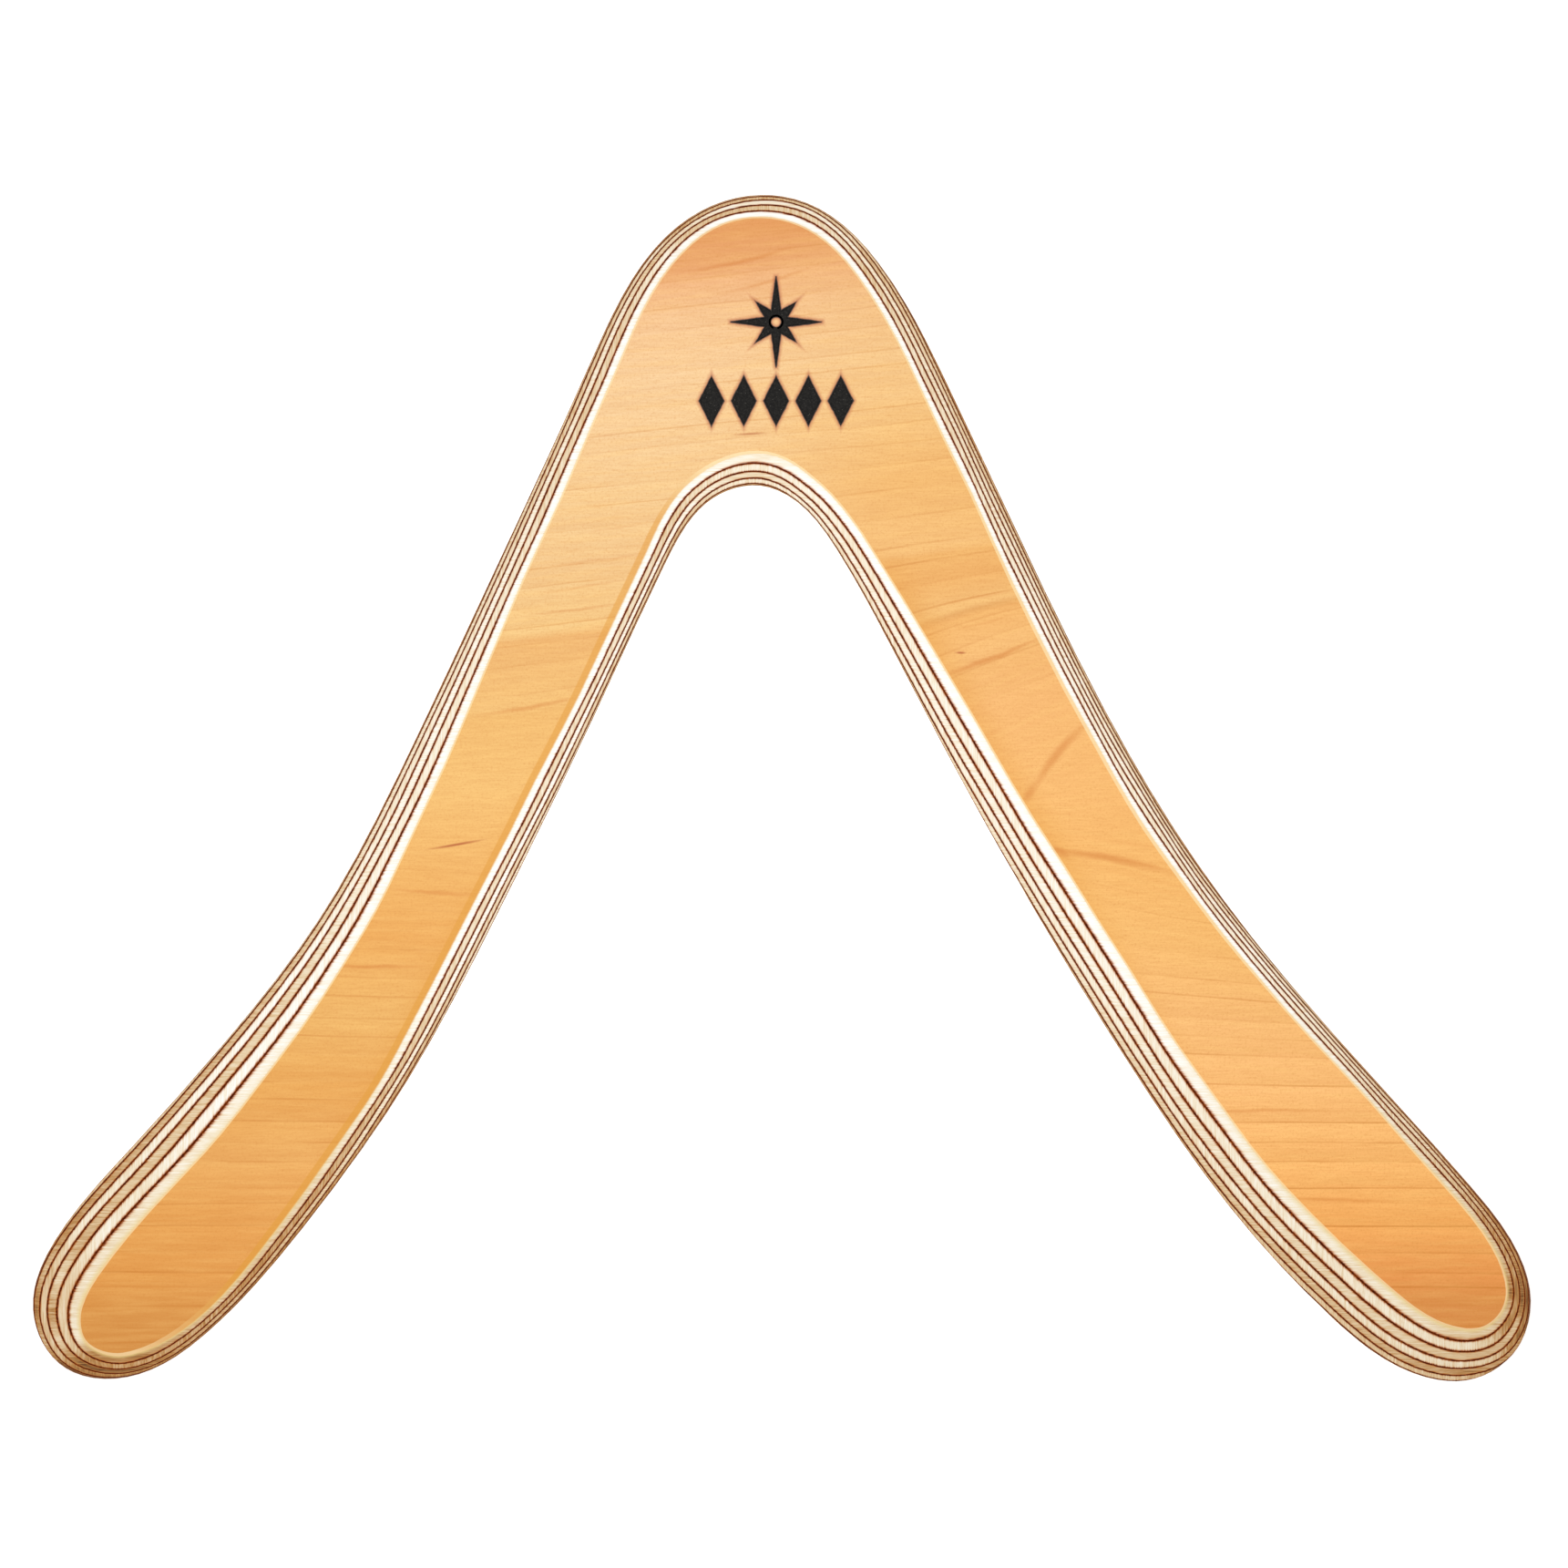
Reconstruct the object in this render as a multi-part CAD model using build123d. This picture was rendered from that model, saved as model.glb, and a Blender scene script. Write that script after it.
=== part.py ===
# A right-handed two-arm boomerang, shaped from one flat blank of thin birch aircraft plywood.
# It lies on its flat underside: X runs along the span, +Y points to the elbow, +Z out of the upper face.
# Every veneer and every glue film of the plywood is its own solid, and neighbours meet face to face.

import os
from math import cos, pi, radians, sin, sqrt

from build123d import *

# The blank, mm.
THICKNESS = 5.0
VENEER_COUNT = 10
FILM = 0.08  # one cured film of phenolic glue
VENEER = (THICKNESS - (VENEER_COUNT - 1) * FILM) / VENEER_COUNT

# The sanding of the edges, mm.
SHOULDER_DROP = 0.07  # fall of the upper face across the eased strip beside the bevel
ARRIS = 0.8  # radius that takes the sharpness off the lower edge
ROUNDNESS = 0.5  # share of the bevel that curves over towards the edge, 0 is a straight chamfer
WANDER = 0.22  # how far hand sanding lets a contour wander to either side
WANDER_WAVES = (23, 37)  # waves of that wander in one turn round the rim
WANDER_TWIST = 2.1  # phase shift of the wander per mm of depth, radians

# Stretches of the rim, in one turn from the elbow along the right arm, the gap and the left arm.
# Each station: x, y, width of the bevel, depth that it reaches, width of the eased strip beside it, mm.
ELBOW_CROWN = (
    (-5.5, 158.0, 5.9, 2.3, 0.5),
    (11.5, 153.5, 6.1, 2.3, 0.5),
    (26.5, 139.0, 6.6, 2.6, 0.5),
)
RIGHT_LEADING_EDGE = (
    (42.5, 111.0, 6.8, 2.9, 0.5),
    (76.5, 39.5, 6.6, 3.0, 1.0),
    (109.0, -17.5, 6.0, 2.9, 1.0),
    (147.0, -65.5, 5.0, 2.4, 0.5),
)
RIGHT_TIP = (
    (183.0, -105.5, 5.0, 2.3, 0.5),
    (196.0, -123.5, 5.5, 2.3, 0.5),
    (199.5, -136.0, 6.9, 2.3, 0.5),
)
RIGHT_TIP_CORNER = (
    (195.0, -150.5, 11.0, 2.5, 0.5),
    (184.0, -157.5, 14.0, 3.0, 0.5),
    (166.0, -155.0, 15.6, 3.1, 0.5),
)
RIGHT_TRAILING_EDGE = (
    (146.0, -140.5, 15.8, 3.1, 0.5),
    (118.5, -110.5, 14.4, 2.8, 0.5),
    (96.5, -79.5, 13.4, 2.7, 0.5),
    (74.5, -44.5, 12.9, 2.7, 0.5),
    (35.0, 26.5, 9.7, 2.2, 0.5),
)
ELBOW_HOLLOW = (
    (15.0, 63.0, 7.6, 2.1, 0.5),
    (5.0, 75.5, 7.2, 2.1, 0.6),
    (-5.0, 80.5, 8.5, 2.2, 0.8),
    (-18.0, 77.5, 7.1, 2.2, 1.2),
)
LEFT_LEADING_EDGE = (
    (-31.0, 60.0, 5.5, 2.2, 2.0),
    (-48.0, 23.5, 5.9, 2.3, 2.1),
    (-76.0, -34.0, 6.8, 2.5, 2.1),
    (-102.0, -81.5, 6.0, 2.2, 2.1),
    (-127.5, -117.0, 5.2, 2.0, 2.0),
)
LEFT_TIP = (
    (-152.5, -144.5, 4.4, 1.9, 1.5),
    (-175.0, -157.0, 6.0, 2.2, 1.0),
    (-191.5, -154.0, 9.8, 2.4, 0.5),
)
LEFT_TIP_CORNER = (
    (-199.5, -139.0, 13.0, 2.6, 0.5),
    (-193.0, -119.5, 14.6, 2.7, 0.5),
)
LEFT_TRAILING_EDGE = (
    (-173.5, -96.0, 15.1, 2.8, 0.5),
    (-149.5, -69.0, 14.2, 2.7, 0.5),
    (-124.0, -36.0, 11.8, 2.7, 0.5),
    (-99.5, 9.0, 9.9, 2.7, 0.5),
)
LEFT_SHOULDER = (
    (-76.0, 59.0, 8.0, 2.7, 0.5),
    (-52.0, 111.0, 7.1, 2.3, 0.5),
    (-28.5, 149.0, 5.9, 2.3, 0.5),
)
STRETCHES = (
    ELBOW_CROWN,
    RIGHT_LEADING_EDGE,
    RIGHT_TIP,
    RIGHT_TIP_CORNER,
    RIGHT_TRAILING_EDGE,
    ELBOW_HOLLOW,
    LEFT_LEADING_EDGE,
    LEFT_TIP,
    LEFT_TIP_CORNER,
    LEFT_TRAILING_EDGE,
    LEFT_SHOULDER,
)
RIM = [station for stretch in STRETCHES for station in stretch]
STEPS = 5  # contour points per span between two stations

# The burnt ornament at the elbow: an eight-point wind rose over a row of lozenges, mm.
BURN_DEPTH = 0.25
ROSE_CENTRE = (-1.5, 124.0)
ROSE_LONG, ROSE_SHORT, ROSE_WAIST = 12.0, 7.5, 3.3
ROSE_EYE = 1.4  # radius of the unburnt eye
LOZENGE_COUNT = 5
LOZENGE_PITCH = 8.6
LOZENGE_WIDTH, LOZENGE_HEIGHT = 6.6, 13.0
LOZENGE_ROW_Y = 103.0


def station_fractions():
    # Where each station lies on the rim, from 0 to 1, with the first one again at 1.
    ring = RIM + RIM[:1]
    places = [0.0]
    for a, b in zip(ring, ring[1:]):
        places.append(places[-1] + sqrt((b[0] - a[0]) ** 2 + (b[1] - a[1]) ** 2))
    return [place / places[-1] for place in places]


def between_stations(span, part, column):
    # A value of the rim table part of the way along a span, on a smooth curve through its neighbours.
    last = len(RIM)
    here, there = RIM[span][column], RIM[(span + 1) % last][column]
    before, after = RIM[span - 1][column], RIM[(span + 2) % last][column]
    slope_here, slope_there = (there - before) / 2, (after - here) / 2
    square, cube = part**2, part**3
    return (
        here * (2 * cube - 3 * square + 1)
        + there * (3 * square - 2 * cube)
        + slope_here * (cube - 2 * square + part)
        + slope_there * (cube - square)
    )


def rim_points():
    # Points on the rim with the inward direction, the fraction of a turn and the edge's own sizes.
    rim = Spline(*[station[:2] for station in RIM], periodic=True)
    fractions = station_fractions()
    points = []
    for span in range(len(RIM)):
        for step in range(STEPS):
            part = step / STEPS
            turn = fractions[span] + part * (fractions[span + 1] - fractions[span])
            tangent = rim.tangent_at(turn)
            inward = Vector(tangent.Y, -tangent.X)
            sizes = [between_stations(span, part, column) for column in (2, 3, 4)]
            points.append((rim.position_at(turn), inward, turn, *sizes))
    return points


def wander(turn, below):
    # The wander of hand sanding at a depth below the upper face, none at the rim itself.
    phase = WANDER_TWIST * below
    first, second = (sin(2 * pi * waves * turn + phase) for waves in WANDER_WAVES)
    return WANDER * (0.6 * first + 0.4 * second)


def inset(point, height):
    # How far inside the rim the outer surface lies at a height.
    _, _, turn, width, depth, _ = point
    below = THICKNESS - height
    reach = below / depth
    if reach < 1:
        return (1 - reach) * (width * (1 - ROUNDNESS * reach) + wander(turn, below))
    if height < ARRIS:
        return ARRIS - sqrt(ARRIS**2 - (ARRIS - height) ** 2)
    return 0.0


def contour(points, height, shoulder=False, drop=0.0):
    # The closed outline at a height, less drop; with shoulder it is the border of the flat upper face.
    outline = []
    for point in points:
        place, inward = point[:2]
        extra = point[-1] if shoulder else 0.0
        spot = place + inward * (inset(point, height) + extra)
        outline.append(Vector(spot.X, spot.Y, height - drop))
    edges = []
    start = 0
    for stretch in STRETCHES:
        end = start + STEPS * len(stretch)
        edges.append(smooth_run(outline, start, end))
        start = end
    return Wire(edges)


def smooth_run(outline, start, end):
    # One spline along a stretch, tangent at both ends to the runs beside it.
    count = len(outline)
    tangents = []
    for k in (start, end):
        tangents.append(outline[(k + 1) % count] - outline[(k - 1) % count])
    return Spline(*[outline[k % count] for k in range(start, end + 1)], tangents=tangents)


def layer(points, bottom, top):
    # A flat layer of the blank between two heights; the lowest one follows the round of the arris.
    heights = [bottom, top]
    if bottom == 0:
        heights = [0.0, 0.12 * VENEER, 0.4 * VENEER, top]
    return Solid.make_loft([contour(points, height) for height in heights], ruled=True)


def upper_layer(points, bottom):
    # The face veneer: its bevel, the eased strip beside it and the flat face.
    bevel_foot = contour(points, bottom)
    bevel_top = contour(points, THICKNESS, drop=SHOULDER_DROP)
    face_border = contour(points, THICKNESS, shoulder=True)
    return Solid.make_loft([bevel_foot, bevel_top, face_border], ruled=True)


def wind_rose():
    # Long and short points by turns, with a waist between them and an open eye.
    corners = []
    for ray in range(8):
        angle = 90 - 45 * ray
        length = ROSE_SHORT if ray % 2 else ROSE_LONG
        corners.append((length * cos(radians(angle)), length * sin(radians(angle))))
        waist = radians(angle - 22.5)
        corners.append((ROSE_WAIST * cos(waist), ROSE_WAIST * sin(waist)))
    rose = make_face(Polyline(*corners, close=True)) - Circle(ROSE_EYE)
    return Pos(*ROSE_CENTRE) * rose


def lozenge_row():
    # Lozenges side by side, centred under the rose.
    half_width, half_height = LOZENGE_WIDTH / 2, LOZENGE_HEIGHT / 2
    tips = ((half_width, 0), (0, half_height), (-half_width, 0), (0, -half_height))
    lozenge = make_face(Polyline(*tips, close=True))
    first = ROSE_CENTRE[0] - LOZENGE_PITCH * (LOZENGE_COUNT - 1) / 2
    return [Pos(first + LOZENGE_PITCH * k, LOZENGE_ROW_Y) * lozenge for k in range(LOZENGE_COUNT)]


def burn_out(veneer):
    # The ornament is burnt into the face veneer but not through it.
    floor = THICKNESS - BURN_DEPTH
    for figure in [wind_rose(), *lozenge_row()]:
        veneer = veneer - Pos(0, 0, floor) * extrude(figure, amount=2 * BURN_DEPTH)
    return veneer


def write(shape, node):
    solids = shape.solids()
    print(node, "solids", len(solids), "volume", round(shape.volume, 1))
    export_step(shape, f"parts/{node}.step")


def veneer_name(number):
    if number == 1:
        return "face_veneer"
    if number == VENEER_COUNT:
        return "back_veneer"
    return f"core_veneer_{number:02d}"


def build():
    os.makedirs("parts", exist_ok=True)
    points = rim_points()
    pitch = VENEER + FILM
    for number in range(1, VENEER_COUNT + 1):
        above = (VENEER_COUNT - number) * pitch  # height of this veneer's lower side
        if number == 1:
            veneer = burn_out(upper_layer(points, above))
        else:
            veneer = layer(points, above, above + VENEER)
        write(veneer, veneer_name(number))
        if number < VENEER_COUNT:
            write(layer(points, above - FILM, above), f"glue_film_{number:02d}")


build()
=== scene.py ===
import math

import bmesh
import bpy
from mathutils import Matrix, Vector


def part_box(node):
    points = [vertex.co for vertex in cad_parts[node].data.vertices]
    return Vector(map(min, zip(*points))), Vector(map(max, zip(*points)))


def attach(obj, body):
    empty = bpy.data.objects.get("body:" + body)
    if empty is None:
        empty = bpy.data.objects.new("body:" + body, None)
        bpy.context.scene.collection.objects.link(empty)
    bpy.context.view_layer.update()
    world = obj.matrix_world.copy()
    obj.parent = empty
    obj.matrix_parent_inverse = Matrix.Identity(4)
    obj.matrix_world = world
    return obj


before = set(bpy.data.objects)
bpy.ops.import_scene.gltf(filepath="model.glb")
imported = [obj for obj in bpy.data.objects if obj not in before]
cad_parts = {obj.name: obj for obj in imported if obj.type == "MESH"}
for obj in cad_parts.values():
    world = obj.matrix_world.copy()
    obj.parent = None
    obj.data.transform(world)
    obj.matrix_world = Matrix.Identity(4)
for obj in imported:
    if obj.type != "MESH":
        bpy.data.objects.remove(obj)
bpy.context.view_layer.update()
print("frame loaded:", len(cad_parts), "nodes")

faceLow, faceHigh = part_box("face_veneer")
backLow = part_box("back_veneer")[0]
filmLow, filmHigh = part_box("glue_film_09")

# the plywood's layers in millimetres, as packed
plies = {
    "count": 10,
    "top": faceHigh.z * 1000,
    "pitch": (filmHigh.z - backLow.z) * 1000,
    "firstFilm": (filmHigh.z + filmLow.z) * 500,  # middle of the lowest glue film
    "easedDrop": 0.07,  # fall of the eased strip, under it the bevel is bare wood
}


def colour(hexCode, cover=1.0):
    # sRGB hex to the linear values that the shaders work in
    channels = [int(hexCode[k:k + 2], 16) / 255 for k in (1, 3, 5)]
    linear = [c / 12.92 if c <= 0.04045 else ((c + 0.055) / 1.055) ** 2.4 for c in channels]
    return (*linear, cover)


def addNode(tree, kind, settings=None, links=None):
    # settings: the node's own options by name, sockets by name or number, a colour ramp's stops, and a
    # range: from, to, and the two values that it gives
    # links: sockets by name or number, each with the node or the output that feeds it
    node = tree.nodes.new("ShaderNode" + kind)
    for key, value in (settings or {}).items():
        if key == "stops":
            elements = node.color_ramp.elements
            elements.remove(elements[1])
            elements[0].position, elements[0].color = value[0]
            for position, shade in value[1:]:
                elements.new(position).color = shade
        elif key == "range":
            for socket, number in enumerate(value, 1):
                node.inputs[socket].default_value = number
        elif isinstance(key, str) and hasattr(node, key):
            setattr(node, key, value)
        else:
            node.inputs[key].default_value = value
    for socket, source in (links or {}).items():
        if isinstance(source, bpy.types.Node):
            source = next(output for output in source.outputs if output.enabled)
        tree.links.new(source, node.inputs[socket])
    return node


def startMaterial(name):
    # a new material with the place in millimetres, the same place split, and the way the surface faces
    material = bpy.data.materials.new(name)
    material.use_nodes = True
    tree = material.node_tree
    metres = addNode(tree, "TexCoord").outputs["Object"]
    place = addNode(tree, "VectorMath", {"operation": "SCALE", "Scale": 1000.0}, {0: metres})
    split = addNode(tree, "SeparateXYZ", None, {0: place})
    normal = addNode(tree, "NewGeometry").outputs["Normal"]
    facing = addNode(tree, "SeparateXYZ", None, {0: normal})
    return material, tree, place, split, facing


print("camera")
overhead = {
    "target": (0.0006, 0.0011),
    "width": 0.4177,  # what the square frame covers at mid thickness
    "lens": 150.0,
    "sensor": 36.0,
}
cameraData = bpy.data.cameras.new("overheadCamera")
cameraData.lens = overhead["lens"]
cameraData.sensor_width = overhead["sensor"]
camera = bpy.data.objects.new("overheadCamera", cameraData)
distance = overhead["width"] * overhead["lens"] / overhead["sensor"]
camera.location = (*overhead["target"], distance + faceHigh.z / 2)
bpy.context.collection.objects.link(camera)
bpy.context.scene.camera = camera

print("studio")
studio = {
    "floorReach": 3.0,
    "floorShade": "#F2F2F2",
    "floorRoughness": 0.7,
    "floorGlow": 0.5,  # an opal light table, it keeps the ground white right up to the object
    "roomShade": "#FFFFFF",
    "roomStrength": 0.66,
    "lampPlace": (-0.05, 0.01, 0.7),
    "lampSize": 0.42,
    "lampPower": 2.2,
}
floorShape = bmesh.new()
bmesh.ops.create_grid(floorShape, x_segments=1, y_segments=1, size=studio["floorReach"])
floorMesh = bpy.data.meshes.new("lightTable")
floorShape.to_mesh(floorMesh)
floorShape.free()
floor = bpy.data.objects.new("lightTable", floorMesh)
bpy.context.collection.objects.link(floor)
opal = bpy.data.materials.new("opalAcrylicTable")
opal.use_nodes = True
opalShader = opal.node_tree.nodes["Principled BSDF"]
opalShader.inputs["Base Color"].default_value = colour(studio["floorShade"])
opalShader.inputs["Roughness"].default_value = studio["floorRoughness"]
opalShader.inputs["Emission Color"].default_value = colour(studio["roomShade"])
opalShader.inputs["Emission Strength"].default_value = studio["floorGlow"]
floorMesh.materials.append(opal)

room = bpy.data.worlds.new("whiteRoom")
room.use_nodes = True
roomLight = room.node_tree.nodes["Background"]
roomLight.inputs["Color"].default_value = colour(studio["roomShade"])
roomLight.inputs["Strength"].default_value = studio["roomStrength"]
bpy.context.scene.world = room

lampData = bpy.data.lights.new("softLamp", "AREA")
lampData.shape = "DISK"
lampData.size = studio["lampSize"]
lampData.energy = studio["lampPower"]
lamp = bpy.data.objects.new("softLamp", lampData)
lamp.location = studio["lampPlace"]  # an area lamp shines down and is not seen from above
bpy.context.collection.objects.link(lamp)

bpy.context.scene.view_settings.view_transform = "Standard"

# Birch veneer, rotary cut, bare and sanded to a bevel: where fibre ends meet the surface it is white
# and furry with a fine hatch, where fibres lie along the edge it is smooth and tan.
sandedBirch = {
    "tones": ((0.0, "#6A4018"), (0.25, "#B8864C"), (0.5, "#DEC298"), (0.75, "#F4E7CE"), (1.0, "#FFFEFA")),
    # lightness of the bevel by the way it faces: west, south, east, north and west again; partly the grain's
    # end or side showing, partly painted light and shade of a side facing towards or away from the lamp
    "long": ((0.0, 0.5), (0.07, 0.8), (0.12, 0.82), (0.25, 0.66), (0.42, 0.93), (0.5, 0.55), (0.57, 0.78),
             (0.6, 0.8), (0.62, 0.88), (0.75, 0.86), (0.82, 0.88), (0.87, 0.7), (0.9, 0.6), (0.93, 0.84),
             (1.0, 0.5)),
    "cross": ((0.0, 0.8), (0.07, 0.75), (0.12, 0.94), (0.25, 0.9), (0.33, 0.86), (0.42, 0.64), (0.45, 0.8),
              (0.5, 0.64), (0.57, 0.85), (0.6, 0.7), (0.62, 0.86), (0.75, 0.68), (0.82, 0.7), (0.86, 0.68),
              (0.89, 1.0), (0.93, 0.76), (1.0, 0.8)),
    "face": ((0.0, 0.95), (0.12, 0.98), (0.18, 0.86), (0.25, 0.77), (0.42, 0.98), (0.5, 0.68), (0.57, 0.94),
             (0.75, 1.0), (0.88, 0.92), (1.0, 0.95)),
    "fibreLength": 6.0,
    "fibreWidth": 0.35,
    "fibreTone": (0.3, 0.7, -0.15, 0.15),
    "steepShadeAndBurnish": (0.95, 0.55, 0.0, -0.35),  # steep bevels darker: painted shade of their tilt, and some burnish from the sanding drum
    "tips": (-45.0, -125.0, 0.0, 1.0),  # painted shade where the light falls off towards the tips, from and to these heights along Y
    "tipShadeSide": (0.0, 1.0, -0.24, -0.5),  # most of all on the edges facing east, away from the lamp
    "heelShade": (-150.0, -185.0, 0.0, -0.45),  # painted shade on the left tip's bevels that face south, away from the lamp
    "heelShadeSide": (-0.45, -0.9, 0.0, 1.0),
    "crownReach": (30.0, 100.0),
    "crownLoss": {"face": 0.0, "long": 0.1, "cross": 0.2},  # inner plies are darker round the elbow
    "low": (3.5, 2.4, 0.0, -0.2),  # low plies darker: partly painted shade low on the edge, partly rubbed by hands and grass
    "wall": (0.45, 0.2, 0.0, 0.5),  # the upright edge is sawn and only lightly sanded, so it stays light
    "soakRagged": (0.3, 0.7, -0.025, 0.025),  # the glue line's border follows the fibres, millimetres
    "soakSmear": (0.99, 0.75, 0.0, -0.075),  # it reaches further on steep bevels
    "soakCrisp": (0.45, 0.2, 0.0, 0.075),  # and not as far on the upright edge
    "roughness": 0.7,
}
# resin that soaks into the wood beside a film: millimetres from the film's middle, colour, cover
resinSoak = (
    (0.0, "#451400", 1.0), (0.035, "#662600", 1.0), (0.05, "#A04A08", 0.92),
    (0.07, "#C07020", 0.6), (0.1, "#CC8A3C", 0.22), (0.14, "#D69C5C", 0.0),
)


def addSandedBirch(tree, place, split, facing, grain):
    # returns the colour and the fibres of bare birch whose grain runs along X or across it
    wood = sandedBirch
    long, wide = 1 / wood["fibreLength"], 1 / wood["fibreWidth"]
    stretch = (wide, long, 1.0) if grain == "cross" else (long, wide, 1.0)
    stretched = addNode(tree, "VectorMath", {"operation": "MULTIPLY", 1: stretch}, {0: place})
    fibres = addNode(tree, "TexNoise", {"Scale": 1.0, "Detail": 3.0, "Roughness": 0.7}, {"Vector": stretched})
    # the bevel's lightness by the way it faces: partly grain, partly painted light and shade
    turn = addNode(tree, "Math", {"operation": "ARCTAN2"}, {0: facing.outputs["Y"], 1: facing.outputs["X"]})
    compass = addNode(tree, "MapRange", {1: -math.pi, 2: math.pi}, {0: turn})
    stops = [(position, (light, light, light, 1)) for position, light in wood[grain]]
    light = addNode(tree, "ValToRGB", {"stops": stops}, {0: compass})
    uneven = addNode(tree, "MapRange", {"range": wood["fibreTone"]}, {0: fibres})
    # painted shade on steep bevels, with some burnish
    steepShadeAndBurnish = addNode(tree, "MapRange", {"range": wood["steepShadeAndBurnish"]}, {0: facing.outputs["Z"]})
    outward = addNode(tree, "CombineXYZ", None, {"X": facing.outputs["X"], "Y": facing.outputs["Y"]})
    outward = addNode(tree, "VectorMath", {"operation": "NORMALIZE"}, {0: outward})
    outward = addNode(tree, "SeparateXYZ", None, {0: outward})
    # painted shade: the bevels darken towards the tips, most where they face east
    tip = addNode(tree, "MapRange", {"range": wood["tips"]}, {0: split.outputs["Y"]})
    tipShadeShare = addNode(tree, "MapRange", {"range": wood["tipShadeSide"]}, {0: outward.outputs["X"]})
    tip = addNode(tree, "Math", {"operation": "MULTIPLY"}, {0: tip, 1: tipShadeShare})
    # painted shade on the left tip's south-facing bevels
    heelShade = addNode(tree, "MapRange", {"range": wood["heelShade"]}, {0: split.outputs["X"]})
    downward = addNode(tree, "MapRange", {"range": wood["heelShadeSide"]}, {0: outward.outputs["Y"]})
    heelShade = addNode(tree, "Math", {"operation": "MULTIPLY"}, {0: heelShade, 1: downward})
    crownRange = (*wood["crownReach"], 0.0, -wood["crownLoss"][grain])
    crown = addNode(tree, "MapRange", {"range": crownRange}, {0: split.outputs["Y"]})
    # darker low on the edge: partly painted shade, partly wear
    low = addNode(tree, "MapRange", {"range": wood["low"]}, {0: split.outputs["Z"]})
    wall = addNode(tree, "MapRange", {"range": wood["wall"]}, {0: facing.outputs["Z"]})
    lightness = addNode(tree, "Math", {"operation": "ADD"}, {0: light, 1: uneven})
    for change in (steepShadeAndBurnish, tip, heelShade, crown, low, wall):
        lightness = addNode(tree, "Math", {"operation": "ADD"}, {0: lightness, 1: change})
    tones = [(position, colour(tone)) for position, tone in wood["tones"]]
    bare = addNode(tree, "ValToRGB", {"stops": tones}, {0: lightness})
    # how far the resin has gone into the wood beside the nearest glue line
    level = addNode(tree, "Math", {"operation": "SUBTRACT", 1: plies["firstFilm"]}, {0: split.outputs["Z"]})
    gap = addNode(tree, "Math", {"operation": "PINGPONG", 1: plies["pitch"] / 2}, {0: level})
    ragged = addNode(tree, "MapRange", {"range": wood["soakRagged"]}, {0: fibres})
    smeared = addNode(tree, "MapRange", {"range": wood["soakSmear"]}, {0: facing.outputs["Z"]})
    crisp = addNode(tree, "MapRange", {"range": wood["soakCrisp"]}, {0: facing.outputs["Z"]})
    for change in (ragged, smeared, crisp):
        gap = addNode(tree, "Math", {"operation": "ADD"}, {0: gap, 1: change})
    scale = plies["pitch"] / 2
    soaked = [(gapSize / scale, colour(tone, cover)) for gapSize, tone, cover in resinSoak]
    near = addNode(tree, "MapRange", {1: 0.0, 2: scale}, {0: gap})
    soak = addNode(tree, "ValToRGB", {"stops": soaked}, {0: near})
    links = {0: soak.outputs["Alpha"], 6: bare, 7: soak.outputs["Color"]}
    surface = addNode(tree, "Mix", {"data_type": "RGBA"}, links)
    return surface, fibres


def finishMaterial(material, surface, relief, depth, roughness, gloss=0.3):
    # the wood's own shader: dielectric, its relief in millimetres
    tree = material.node_tree
    shader = tree.nodes["Principled BSDF"]
    shader.inputs["Roughness"].default_value = roughness
    shader.inputs["IOR"].default_value = 1.5
    shader.inputs["Specular IOR Level"].default_value = gloss
    bump = addNode(tree, "Bump", {"Strength": 0.6, "Distance": depth / 1000}, {"Height": relief})
    tree.links.new(bump.outputs["Normal"], shader.inputs["Normal"])
    tree.links.new(next(output for output in surface.outputs if output.enabled), shader.inputs["Base Color"])
    return material


def sandedBirchMaterial(grain):
    material, tree, place, split, facing = startMaterial(grain + "GrainSandedBirch")
    surface, fibres = addSandedBirch(tree, place, split, facing, grain)
    return finishMaterial(material, surface, fibres, 0.06, sandedBirch["roughness"])


# Phenolic resin film, hot pressed and sanded flush: a dark red-brown core with rusty, ragged margins
# where it has gone into the wood.
phenolic = {
    "resin": ((0.4, "#451400"), (0.7, "#762C00")),
    "edge": ((0.0, "#A85008", 0.0), (0.35, "#A85008", 1.0), (1.0, "#C88030", 1.0)),
    "core": (0.9, 0.985, 0.046, 0.03),  # half width in millimetres, on steep and on shallow bevels
    "ragged": (0.3, 0.7, -0.014, 0.014),
    "margin": (0.0, 0.022, 0.0, 1.0),
    "spot": 0.8,
    "roughness": 0.75,
    "gloss": 0.03,
}


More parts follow.
